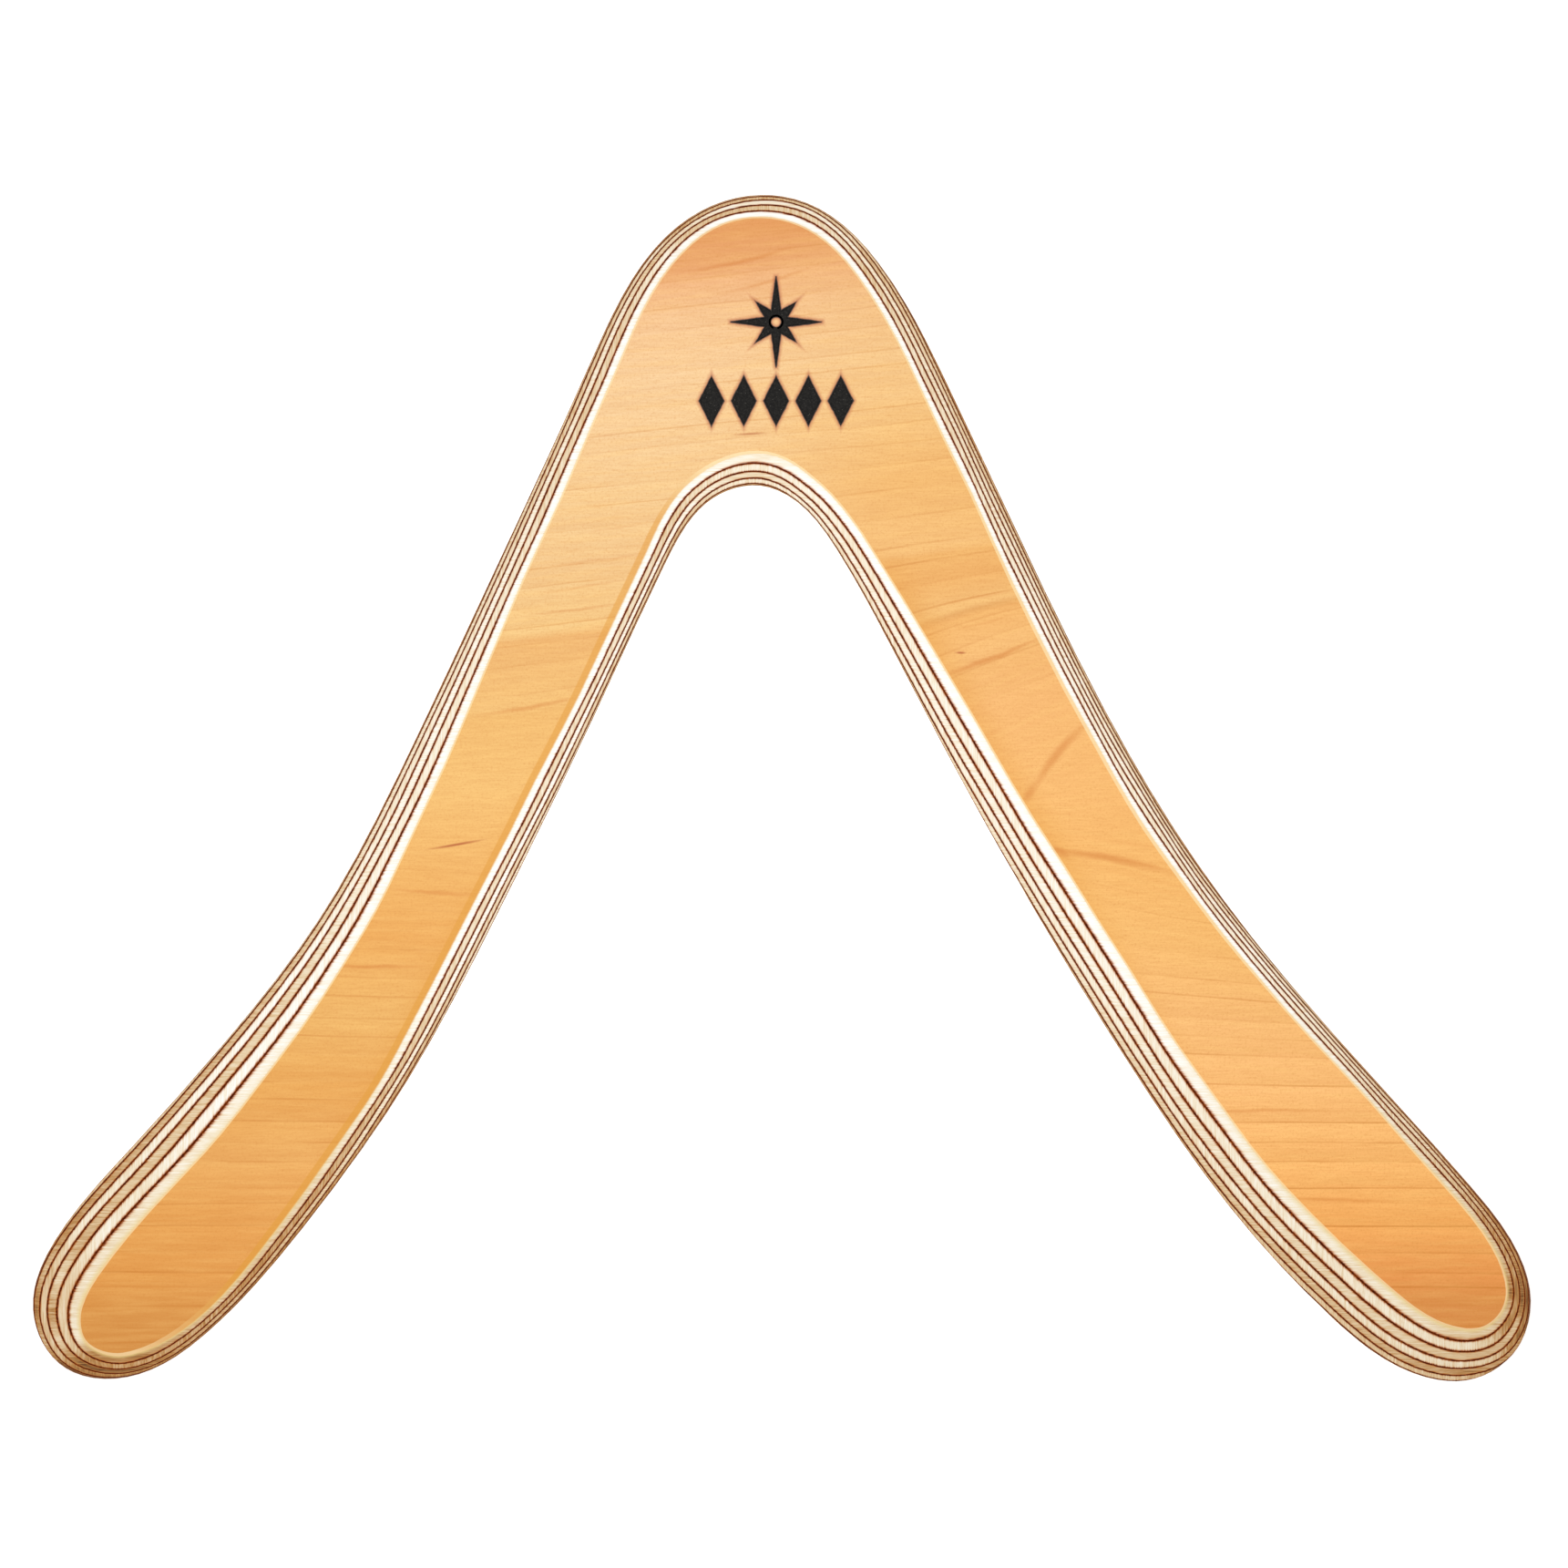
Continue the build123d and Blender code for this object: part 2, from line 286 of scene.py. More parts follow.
def phenolicMaterial():
    material, tree, place, split, facing = startMaterial("hotPressedPhenolicFilm")
    settings = {"Scale": 1 / phenolic["spot"], "Detail": 3.0, "Roughness": 0.7}
    spots = addNode(tree, "TexNoise", settings, {"Vector": place})
    stops = [(position, colour(tone)) for position, tone in phenolic["resin"]]
    resin = addNode(tree, "ValToRGB", {"stops": stops}, {0: spots})
    level = addNode(tree, "Math", {"operation": "SUBTRACT", 1: plies["firstFilm"]}, {0: split.outputs["Z"]})
    gap = addNode(tree, "Math", {"operation": "PINGPONG", 1: plies["pitch"] / 2}, {0: level})
    core = addNode(tree, "MapRange", {"range": phenolic["core"]}, {0: facing.outputs["Z"]})
    ragged = addNode(tree, "MapRange", {"range": phenolic["ragged"]}, {0: spots})
    past = addNode(tree, "Math", {"operation": "SUBTRACT"}, {0: gap, 1: core})
    past = addNode(tree, "Math", {"operation": "ADD"}, {0: past, 1: ragged})
    past = addNode(tree, "MapRange", {"range": phenolic["margin"]}, {0: past})
    stops = [(position, colour(tone, cover)) for position, tone, cover in phenolic["edge"]]
    margin = addNode(tree, "ValToRGB", {"stops": stops}, {0: past})
    links = {0: margin.outputs["Alpha"], 6: resin, 7: margin.outputs["Color"]}
    surface = addNode(tree, "Mix", {"data_type": "RGBA"}, links)
    return finishMaterial(material, surface, spots, 0.03, phenolic["roughness"], phenolic["gloss"])


# Birch face veneer, rotary cut, stained warm and lacquered satin: honey with thin brown growth lines,
# more orange at the crown and the tips, darker towards the tips as painted shade of the light falling off
# there, and a satin coat over fine fibres.
lacqueredBirch = {
    # height on the arm's middle line in millimetres and colour, left arm then right arm; darker towards the
    # tips with painted shade
    "left": ((-160, "#D08D3E"), (-140, "#DC9A48"), (-130, "#E6A24D"), (-112, "#EAA955"), (-98, "#EDB262"),
             (-80, "#E9AB54"), (-60, "#EEBA68"), (-40, "#ECAE57"), (-22, "#EEB663"), (0, "#F2C273"),
             (20.5, "#EEBC6D"), (23, "#F0C277"), (41, "#ECB870"), (43, "#F3CC88"),
             (60, "#F1CA8F"), (80, "#F4CF95"), (112, "#F7D3A1"), (128, "#F6CC9A"), (137, "#F2BC87"),
             (141, "#EAAA6F"), (150, "#E5A060")),
    "right": ((-160, "#D98A42"), (-138, "#E0964C"), (-130, "#EEA054"), (-115, "#FCB866"), (-100, "#FFC274"),
              (-80, "#FFC67E"), (-60, "#FAC27A"), (-40, "#F8C172"), (-20, "#F6BC6B"), (0, "#F7BE72"),
              (26, "#F5BC74"), (34, "#F2BA70"), (37, "#F6C27A"), (46.5, "#F2B96C"), (47.2, "#E4AC62"),
              (48, "#F4C47C"), (56, "#EEB467"), (62, "#F0B96C"), (63, "#F4C37C"), (80, "#F2BE73"),
              (95, "#F4C783"), (112, "#F5CC90"), (128, "#F3C58C"), (137, "#EFB67C"), (150, "#E59E59")),
    # height, distance of the arm's middle line from the axis, slope of the growth lines on the left and
    # on the right arm, and how far they show
    "figure": ((-165, 171, 0.0, 0.0, 1.0), (-90, 128, 0.0, 0.0, 1.0), (-50, 105, -0.02, -0.1, 0.6),
               (-25, 91, -0.07, -0.25, 0.2), (-8, 82, 0.02, -0.05, 0.15), (8, 72, 0.1, 0.35, 0.15),
               (22, 64, 0.14, 0.38, 0.2), (36, 56, 0.14, 0.3, 0.5), (50, 48, 0.13, 0.2, 0.7),
               (60, 43, 0.12, 0.13, 0.7), (90, 0, 0.1, 0.1, 0.5), (160, 0, 0.12, 0.12, 0.5)),
    "ringSpacing": 5.5,
    "ring": "#CC7E1C",
    "streak": "#D07810",
    "mineral": "#B45200",
    "pale": "#FFD280",
    "gold": "#E29E2C",
    "fibreLength": 5.0,
    "fibreWidth": 0.4,
    "fringe": "#FCE8B8",
    "run": "#EBD28F",
    # painted shade on the wide eased strip
    "easedStripShadeGold": "#DE9C28",
    "depth": 1.09,  # wet look of wood under lacquer
    "roughness": 0.45,
    "elbowBlend": (-30.0, 35.0, 0.0, 1.0),
    "goldSide": (-5.0, -21.0, 0.0, 0.6),
    "goldEnds": ((75.0, 45.0, 0.0, 1.0), (-120.0, -60.0, 0.0, 1.0)),
    "ringLine": (0.075, 0.01, 0.0, 1.0),
    "ringFade": (0.35, 0.6, 0.05, 0.6),
    "ringTone": 0.16,  # how much a ring darkens towards its line
    "streakStretch": (0.05, 0.7, 0.0),
    "paleCover": (0.42, 0.7, 0.0, 0.2),
    "fibreCover": (0.4, 0.7, 0.0, 0.24),
    "poresPerMillimetre": 1.6,
    "poreCover": (0.5, 0.75, 0.0, 0.3),
    "shake": 1.3,  # millimetres that the growth lines that stand out waver
    "stripCover": (0.0, 0.01, 0.0, 0.6),
    "stripTilt": (0.998, 0.9992, 0.0, 1.0),
    "coatEnd": (-0.012, 0.004),  # millimetres above and below the foot of the eased strip
    "tipRun": (-70.0, -130.0, 0.2, 0.75),
    "runLength": 0.14,
}
# the scorched border of the burnt ornament: share of its reach, colour and cover
scorched = {
    "stops": ((0.0, "#1B1512", 1.0), (0.1, "#4A241A", 0.95), (0.28, "#B4603C", 0.6), (1.0, "#D88C5A", 0.0)),
    "reach": 1.2,
    "flicker": 0.2,
}
# growth lines that stand out on an arm, as parts of the face's own size from its middle: x, y, and in
# millimetres half length, half width, turn in degrees, sag of the middle, and cover
strokes = (
    ((-0.118, 0.45), 14, 0.6, 8, 0.3, 0.15), ((-0.128, 0.395), 19, 0.6, 7, 0.9, 0.2),
    ((-0.135, 0.35), 18, 0.6, 9, 0.4, 0.2), ((-0.142, 0.31), 18, 0.7, 8, 0.3, 0.3),
    ((-0.172, 0.14), 19, 0.9, 10, 1.4, 0.4), ((-0.24, -0.182), 17, 0.9, -4, 0.6, 0.4),
    ((-0.285, -0.31), 20, 0.8, 0, 0.8, 0.45), ((0.134, 0.33), 16, 0.6, 11, 0.2, 0.15),
    ((0.137, 0.285), 16, 0.6, 14, 0.3, 0.15), ((0.145, 0.225), 18, 1.1, 21, 1.3, 0.5),
    ((0.191, 0.06), 17, 1.9, 51, -2.6, 0.48), ((0.171, -0.01), 4, 1.9, 60, 0.0, 0.4),
    ((0.228, -0.122), 24, 1.6, -11, -1.8, 0.48), ((0.193, -0.11), 4, 1.8, -30, 0.0, 0.4),
    ((-0.028, 0.915), 20, 0.9, 13, 1.2, 0.4), ((-0.008, 0.88), 17, 0.8, 17, 0.5, 0.3),
    ((0.335, -0.56), 24, 0.8, 0, 0.3, 0.35), ((0.38, -0.715), 24, 0.8, -1, 0.3, 0.35),
)
# short brown mineral streaks, in the same terms
minerals = (
    ((-0.225, -0.098), 10, 0.55, 10, 0.1, 0.85), ((-0.022, 0.615), 6, 0.5, 3, 0.0, 0.6),
    ((0.124, 0.235), 2, 0.5, -2, 0.0, 0.8),
)
halfSpan = (faceHigh - faceLow) * 500  # of the face, in millimetres


def addFigure(tree, place, split):
    # height of each spot along the arm once the slope of its growth line is taken off, how far lines show,
    # and how far outside the arm's middle line the spot is
    low, high = lacqueredBirch["figure"][0][0], lacqueredBirch["figure"][-1][0]
    stops = []
    for height, middle, left, right, shown in lacqueredBirch["figure"]:
        stops.append(((height - low) / (high - low), (middle / 200, left / 2 + 0.5, right / 2 + 0.5, shown)))
    along = addNode(tree, "MapRange", {1: low, 2: high}, {0: split.outputs["Y"]})
    course = addNode(tree, "ValToRGB", {"stops": stops}, {0: along})
    channels = addNode(tree, "SeparateXYZ", None, {0: course})
    rightSide = addNode(tree, "Math", {"operation": "GREATER_THAN", 1: 0.0}, {0: split.outputs["X"]})
    slope = addNode(tree, "Mix", None, {0: rightSide, 2: channels.outputs["Y"], 3: channels.outputs["Z"]})
    slope = addNode(tree, "MapRange", {3: -1.0, 4: 1.0, "clamp": False}, {0: slope})
    middle = addNode(tree, "Math", {"operation": "MULTIPLY", 1: 200.0}, {0: channels.outputs["X"]})
    side = addNode(tree, "Math", {"operation": "SIGN"}, {0: split.outputs["X"]})
    middle = addNode(tree, "Math", {"operation": "MULTIPLY"}, {0: middle, 1: side})
    offset = addNode(tree, "Math", {"operation": "SUBTRACT"}, {0: split.outputs["X"], 1: middle})
    rise = addNode(tree, "Math", {"operation": "MULTIPLY"}, {0: slope, 1: offset})
    level = addNode(tree, "Math", {"operation": "SUBTRACT"}, {0: split.outputs["Y"], 1: rise})
    stretched = addNode(tree, "VectorMath", {"operation": "MULTIPLY", 1: (0.012, 0.03, 0.0)}, {0: place})
    warp = addNode(tree, "TexNoise", {"Scale": 1.0, "Detail": 2.0, "Roughness": 0.4}, {"Vector": stretched})
    shift = addNode(tree, "MapRange", {3: -1.5, 4: 1.5}, {0: warp})
    level = addNode(tree, "Math", {"operation": "ADD"}, {0: level, 1: shift})
    outer = addNode(tree, "Math", {"operation": "MULTIPLY"}, {0: offset, 1: side})
    return level, course.outputs["Alpha"], outer


def addOrnamentGap(tree, place):
    # millimetres from the edge of the burnt rose and lozenges, negative inside them
    rose = burnt["rose"]
    middle = (*rose["centre"], plies["top"])
    centred = addNode(tree, "VectorMath", {"operation": "SUBTRACT", 1: middle}, {0: place})
    folded = addNode(tree, "VectorMath", {"operation": "ABSOLUTE"}, {0: centred})
    corner = addNode(tree, "SeparateXYZ", None, {0: folded})
    ahead = addNode(tree, "Math", {"operation": "MAXIMUM"}, {0: corner.outputs["X"], 1: corner.outputs["Y"]})
    beside = addNode(tree, "Math", {"operation": "MINIMUM"}, {0: corner.outputs["X"], 1: corner.outputs["Y"]})
    waist = Vector((math.cos(math.pi / 8), math.sin(math.pi / 8))) * rose["waist"]
    longTip = Vector((rose["long"], 0))
    shortTip = Vector((rose["short"], rose["short"])) * math.sqrt(0.5)
    flanks = []
    for start, end in ((longTip, waist), (waist, shortTip)):
        run = (end - start).normalized()
        outward = Vector((run.y, -run.x))
        settings = {"operation": "MULTIPLY_ADD", 1: outward.y, 2: -outward.dot(start)}
        part = addNode(tree, "Math", settings, {0: beside})
        flanks.append(addNode(tree, "Math", {"operation": "MULTIPLY_ADD", 1: outward.x}, {0: ahead, 2: part}))
    star = addNode(tree, "Math", {"operation": "MINIMUM"}, {0: flanks[0], 1: flanks[1]})
    plane = addNode(tree, "VectorMath", {"operation": "MULTIPLY", 1: (1, 1, 0)}, {0: centred})
    radius = addNode(tree, "VectorMath", {"operation": "LENGTH"}, {0: plane}).outputs["Value"]
    eye = addNode(tree, "Math", {"operation": "SUBTRACT", 0: rose["eye"]}, {1: radius})
    star = addNode(tree, "Math", {"operation": "MAXIMUM"}, {0: star, 1: eye})
    past = addNode(tree, "Math", {"operation": "SUBTRACT", 1: rose["long"]}, {0: radius})
    star = addNode(tree, "Math", {"operation": "MAXIMUM"}, {0: star, 1: past})
    row = burnt["row"]
    halfWide, halfHigh = row["width"] / 2, row["height"] / 2
    lean = Vector((halfHigh, halfWide)).normalized()
    drop = (0, rose["centre"][1] - row["y"], 0)
    lower = addNode(tree, "VectorMath", {"operation": "ADD", 1: drop}, {0: centred})
    lower = addNode(tree, "VectorMath", {"operation": "ABSOLUTE"}, {0: lower})
    lower = addNode(tree, "SeparateXYZ", None, {0: lower})
    cell = addNode(tree, "Math", {"operation": "PINGPONG", 1: row["pitch"] / 2}, {0: lower.outputs["X"]})
    part = addNode(tree, "Math", {"operation": "MULTIPLY_ADD", 1: lean.x, 2: -lean.x * halfWide}, {0: cell})
    settings = {"operation": "MULTIPLY_ADD", 1: lean.y}
    lozenge = addNode(tree, "Math", settings, {0: lower.outputs["Y"], 2: part})
    rowEnd = row["pitch"] * (row["count"] - 1) / 2 + halfWide
    past = addNode(tree, "Math", {"operation": "SUBTRACT", 1: rowEnd}, {0: lower.outputs["X"]})
    lozenge = addNode(tree, "Math", {"operation": "MAXIMUM"}, {0: lozenge, 1: past})
    return addNode(tree, "Math", {"operation": "MINIMUM"}, {0: star, 1: lozenge})


def addStrokes(tree, wood, place, marks, tone):
    # each mark is a soft ellipse bent along its length
    for (u, v), halfLength, halfWidth, degrees, sag, strength in marks:
        mapping = {
            "vector_type": "TEXTURE",
            "Location": (u * halfSpan.x * 2, v * halfSpan.y, 0),
            "Rotation": (0, 0, math.radians(degrees)),
            "Scale": (halfLength, halfWidth, 1e6),
        }
        spot = addNode(tree, "Mapping", mapping, {"Vector": place})
        flat = addNode(tree, "VectorMath", {"operation": "MULTIPLY", 1: (1, 1, 0)}, {0: spot})
        square = addNode(tree, "VectorMath", {"operation": "MULTIPLY"}, {0: flat, 1: flat})
        parts = addNode(tree, "SeparateXYZ", None, {0: square})
        bent = addNode(tree, "CombineXYZ", None, {"Y": parts.outputs["X"]})
        bent = addNode(tree, "VectorMath", {"operation": "SCALE", "Scale": -sag / halfWidth}, {0: bent})
        spot = addNode(tree, "VectorMath", {"operation": "ADD"}, {0: flat, 1: bent})
        far = addNode(tree, "VectorMath", {"operation": "LENGTH"}, {0: spot}).outputs["Value"]
        settings = {"interpolation_type": "SMOOTHSTEP", "range": (1.0, 0.1, 0.0, strength)}
        cover = addNode(tree, "MapRange", settings, {0: far})
        wood = addNode(tree, "Mix", {"data_type": "RGBA", 7: colour(tone)}, {0: cover, 6: wood})
    return wood


def faceVeneerMaterial():
    look = lacqueredBirch
    material, tree, place, split, facing = startMaterial("satinLacqueredBirch")
    level, shown, outer = addFigure(tree, place, split)
    # ground colour along each arm, blended across the elbow; its darkening towards the tips is painted shade
    grounds = []
    for side in ("left", "right"):
        low, high = look[side][0][0], look[side][-1][0]
        stops = [((height - low) / (high - low), colour(tone)) for height, tone in look[side]]
        along = addNode(tree, "MapRange", {1: low, 2: high}, {0: level})
        grounds.append(addNode(tree, "ValToRGB", {"stops": stops}, {0: along}))
    settings = {"interpolation_type": "SMOOTHSTEP", "range": look["elbowBlend"]}
    across = addNode(tree, "MapRange", settings, {0: split.outputs["X"]})
    ground = addNode(tree, "Mix", {"data_type": "RGBA"}, {0: across, 6: grounds[0], 7: grounds[1]})
    # the stain is more golden along the inner border of both arms
    settings = {"interpolation_type": "SMOOTHSTEP", "range": look["goldSide"]}
    gold = addNode(tree, "MapRange", settings, {0: outer})
    for end in look["goldEnds"]:
        armOnly = addNode(tree, "MapRange", {"range": end}, {0: split.outputs["Y"]})
        gold = addNode(tree, "Math", {"operation": "MULTIPLY"}, {0: gold, 1: armOnly})
    ground = addNode(tree, "Mix", {"data_type": "RGBA", 7: colour(look["gold"])}, {0: gold, 6: ground})
    # growth rings: each darkens towards its thin brown line, which comes and goes
    ringSettings = {"voronoi_dimensions": "1D", "Scale": 1 / look["ringSpacing"]}
    ring = addNode(tree, "TexVoronoi", ringSettings, {"W": level})
    ringEdge = addNode(tree, "TexVoronoi", {**ringSettings, "feature": "DISTANCE_TO_EDGE"}, {"W": level})
    settings = {"interpolation_type": "SMOOTHSTEP", "range": look["ringLine"]}
    line = addNode(tree, "MapRange", settings, {0: ringEdge.outputs["Distance"]})
    rank = addNode(tree, "CombineXYZ", None, {"X": split.outputs["X"], "Y": level})
    rank = addNode(tree, "VectorMath", {"operation": "MULTIPLY", 1: (0.012, 0.16, 0.0)}, {0: rank})
    patches = addNode(tree, "TexNoise", {"Scale": 1.0, "Detail": 3.0, "Roughness": 0.6}, {"Vector": rank})
    settings = {"interpolation_type": "SMOOTHSTEP", "range": look["ringFade"]}
    fade = addNode(tree, "MapRange", settings, {0: patches})
    line = addNode(tree, "Math", {"operation": "MULTIPLY"}, {0: line, 1: fade})
    within = addNode(tree, "Math", {"operation": "SUBTRACT"}, {0: level, 1: ring.outputs["W"]})
    half = look["ringSpacing"] / 2
    tone = addNode(tree, "MapRange", {"range": (half, -half, 0.0, look["ringTone"])}, {0: within})
    line = addNode(tree, "Math", {"operation": "MAXIMUM"}, {0: line, 1: tone})
    line = addNode(tree, "Math", {"operation": "MULTIPLY"}, {0: line, 1: shown})
    wood = addNode(tree, "Mix", {"data_type": "RGBA", 7: colour(look["ring"])}, {0: line, 6: ground})
    # long pale and dark streaks between the rings
    streakPlace = addNode(tree, "CombineXYZ", None, {"X": split.outputs["X"], "Y": level})
    settings = {"operation": "MULTIPLY", 1: look["streakStretch"]}
    streakPlace = addNode(tree, "VectorMath", settings, {0: streakPlace})
    settings = {"Scale": 1.0, "Detail": 3.0, "Roughness": 0.5}
    streaks = addNode(tree, "TexNoise", settings, {"Vector": streakPlace})
    light = addNode(tree, "MapRange", {"range": look["paleCover"]}, {0: streaks})
    wood = addNode(tree, "Mix", {"data_type": "RGBA", 7: colour(look["pale"])}, {0: light, 6: wood})
    # fibres 0.4 mm wide, drawn a little coarser than real ones so that they show
    stretch = (1 / look["fibreLength"], 1 / look["fibreWidth"], 0.1)
    fibrePlace = addNode(tree, "VectorMath", {"operation": "MULTIPLY", 1: stretch}, {0: place})
    settings = {"Scale": 1.0, "Detail": 4.0, "Roughness": 0.75}
    fibres = addNode(tree, "TexNoise", settings, {"Vector": fibrePlace})
    dark = addNode(tree, "MapRange", {"range": look["fibreCover"]}, {0: fibres})
    wood = addNode(tree, "Mix", {"data_type": "RGBA", 7: colour(look["ring"])}, {0: dark, 6: wood})
    # pores, drawn a few times coarser than real ones so that they show
    settings = {"Scale": look["poresPerMillimetre"], "Detail": 2.0, "Roughness": 0.7}
    pores = addNode(tree, "TexNoise", settings, {"Vector": place})
    dark = addNode(tree, "MapRange", {"range": look["poreCover"]}, {0: pores})
    wood = addNode(tree, "Mix", {"data_type": "RGBA", 7: colour(look["ring"])}, {0: dark, 6: wood})
    shaken = addNode(tree, "TexNoise", {"Scale": 0.12, "Detail": 2.0, "Roughness": 0.5}, {"Vector": place})
    settings = {"operation": "SUBTRACT", 1: (0.5, 0.5, 0.5)}
    shaken = addNode(tree, "VectorMath", settings, {0: shaken.outputs["Color"]})
    settings = {"operation": "MULTIPLY_ADD", 1: (look["shake"], look["shake"], 0)}
    shaken = addNode(tree, "VectorMath", settings, {0: shaken, 2: place})
    wood = addStrokes(tree, wood, shaken, strokes, look["streak"])
    wood = addStrokes(tree, wood, place, minerals, look["mineral"])
    # the eased strip beside the bevel: a darker gold where it is wide, painted shade of its tilt away from
    # the lamp, and a pale fringe where it is narrow
    drop = addNode(tree, "Math", {"operation": "SUBTRACT", 0: plies["top"]}, {1: split.outputs["Z"]})
    onStrip = addNode(tree, "MapRange", {"range": look["stripCover"]}, {0: drop})
    wide = addNode(tree, "MapRange", {"range": look["stripTilt"]}, {0: facing.outputs["Z"]})
    settings = {"data_type": "RGBA", 6: colour(look["fringe"]), 7: colour(look["easedStripShadeGold"])}
    strip = addNode(tree, "Mix", settings, {0: wide})
    coated = addNode(tree, "Mix", {"data_type": "RGBA"}, {0: onStrip, 6: wood, 7: strip})
    # bare bevel of the same veneer below the coat
    bare = addSandedBirch(tree, place, split, facing, "face")[0]
    above, below = look["coatEnd"]
    foot = plies["easedDrop"]
    uncoated = addNode(tree, "MapRange", {1: foot + above, 2: foot + below}, {0: drop})
    # the coat runs a little way down the bevel and yellows it, more so at the tips
    tip = addNode(tree, "MapRange", {"range": look["tipRun"]}, {0: split.outputs["Y"]})
    run = addNode(tree, "MapRange", {"range": (foot, foot + look["runLength"], 1.0, 0.0)}, {0: drop})
    run = addNode(tree, "Math", {"operation": "MULTIPLY"}, {0: run, 1: tip})
    bare = addNode(tree, "Mix", {"data_type": "RGBA", 7: colour(look["run"])}, {0: run, 6: bare})
    surface = addNode(tree, "Mix", {"data_type": "RGBA"}, {0: uncoated, 6: coated, 7: bare})
    # scorch round the burnt ornament and char inside it
    gap = addOrnamentGap(tree, place)
    flicker = addNode(tree, "TexNoise", {"Scale": 0.7, "Detail": 3.0}, {"Vector": place})
    flicker = addNode(tree, "MapRange", {3: -scorched["flicker"], 4: scorched["flicker"]}, {0: flicker})
    gap = addNode(tree, "Math", {"operation": "ADD"}, {0: gap, 1: flicker})
    stops = [(position, colour(tone, cover)) for position, tone, cover in scorched["stops"]]
    near = addNode(tree, "MapRange", {1: 0.0, 2: scorched["reach"]}, {0: gap})
    scorch = addNode(tree, "ValToRGB", {"stops": stops}, {0: near})
    links = {0: scorch.outputs["Alpha"], 6: surface, 7: scorch.outputs["Color"]}
    surface = addNode(tree, "Mix", {"data_type": "RGBA"}, links)
    deep = addNode(tree, "Gamma", {"Gamma": look["depth"]}, {0: surface})
    return finishMaterial(material, deep, fibres, 0.02, look["roughness"])


# Birch back veneer, rotary cut, sanded and clear coated without stain: pale straw with faint fibres.
clearBirch = {
    "tones": ((0.3, "#EED0A0"), (0.7, "#DDB47C")),
    "patchStretch": (0.09, 0.02, 0.1),
    "fibreStretch": (2.8, 0.14, 0.1),
    "fibreCover": (0.35, 0.75, 0.0, 0.25),
    "ring": "#C4965A",
    "ringSpacing": 9.0,
    "ringWander": 24.0,
    "ringLine": (0.08, 0.01, 0.0, 0.4),
    "underside": (-0.9, -0.98, 0.0, 1.0),  # how far down a surface faces before it is coated
    "roughness": 0.5,
}


def backVeneerMaterial():
    look = clearBirch
    material, tree, place, split, facing = startMaterial("clearCoatedBirch")
    bare = addSandedBirch(tree, place, split, facing, "cross")[0]
    settings = {"operation": "MULTIPLY", 1: look["patchStretch"]}
    patchPlace = addNode(tree, "VectorMath", settings, {0: place})
    settings = {"Scale": 1.0, "Detail": 3.0, "Roughness": 0.55}
    patches = addNode(tree, "TexNoise", settings, {"Vector": patchPlace})
    stops = [(position, colour(tone)) for position, tone in look["tones"]]
    wood = addNode(tree, "ValToRGB", {"stops": stops}, {0: patches})
    settings = {"operation": "MULTIPLY_ADD", 1: look["ringWander"]}
    wander = addNode(tree, "Math", settings, {0: patches, 2: split.outputs["X"]})
    ringSettings = {
        "voronoi_dimensions": "1D",
        "Scale": 1 / look["ringSpacing"],
        "feature": "DISTANCE_TO_EDGE",
    }
    ringEdge = addNode(tree, "TexVoronoi", ringSettings, {"W": wander})
    line = addNode(tree, "MapRange", {"range": look["ringLine"]}, {0: ringEdge.outputs["Distance"]})
    wood = addNode(tree, "Mix", {"data_type": "RGBA", 7: colour(look["ring"])}, {0: line, 6: wood})
    fibrePlace = addNode(tree, "VectorMath", {"operation": "MULTIPLY", 1: look["fibreStretch"]}, {0: place})
    settings = {"Scale": 1.0, "Detail": 4.0, "Roughness": 0.75}
    fibres = addNode(tree, "TexNoise", settings, {"Vector": fibrePlace})
    dark = addNode(tree, "MapRange", {"range": look["fibreCover"]}, {0: fibres})
    wood = addNode(tree, "Mix", {"data_type": "RGBA", 7: colour(look["ring"])}, {0: dark, 6: wood})
    under = addNode(tree, "MapRange", {"range": look["underside"]}, {0: facing.outputs["Z"]})
    surface = addNode(tree, "Mix", {"data_type": "RGBA"}, {0: under, 6: bare, 7: wood})
    return finishMaterial(material, surface, fibres, 0.02, look["roughness"])


# Charred birch, burnt in with a hot stamp: matt black with ash-grey crests and a few bright specks of
# lacquer that crept back over it.
charred = {
    "tones": ((0.42, "#0E0C0B"), (0.62, "#22201D"), (0.74, "#3A3734")),
    "speck": "#8A857C",
    "speckCover": (0.12, 0.06, 0.0, 0.5),
    "specksPerMillimetre": 1.1,
    "grain": 0.5,
    "roughness": 0.85,
}


def charredMaterial():
    material, tree, place, split, facing = startMaterial("stampCharredBirch")
    settings = {"Scale": 1 / charred["grain"], "Detail": 4.0, "Roughness": 0.7}
    crumb = addNode(tree, "TexNoise", settings, {"Vector": place})
    stops = [(position, colour(tone)) for position, tone in charred["tones"]]
    surface = addNode(tree, "ValToRGB", {"stops": stops}, {0: crumb})
    speck = addNode(tree, "TexVoronoi", {"Scale": charred["specksPerMillimetre"]}, {"Vector": place})
    cover = addNode(tree, "MapRange", {"range": charred["speckCover"]}, {0: speck.outputs["Distance"]})
    surface = addNode(tree, "Mix", {"data_type": "RGBA", 7: colour(charred["speck"])}, {0: cover, 6: surface})
    return finishMaterial(material, surface, crumb, 0.08, charred["roughness"])


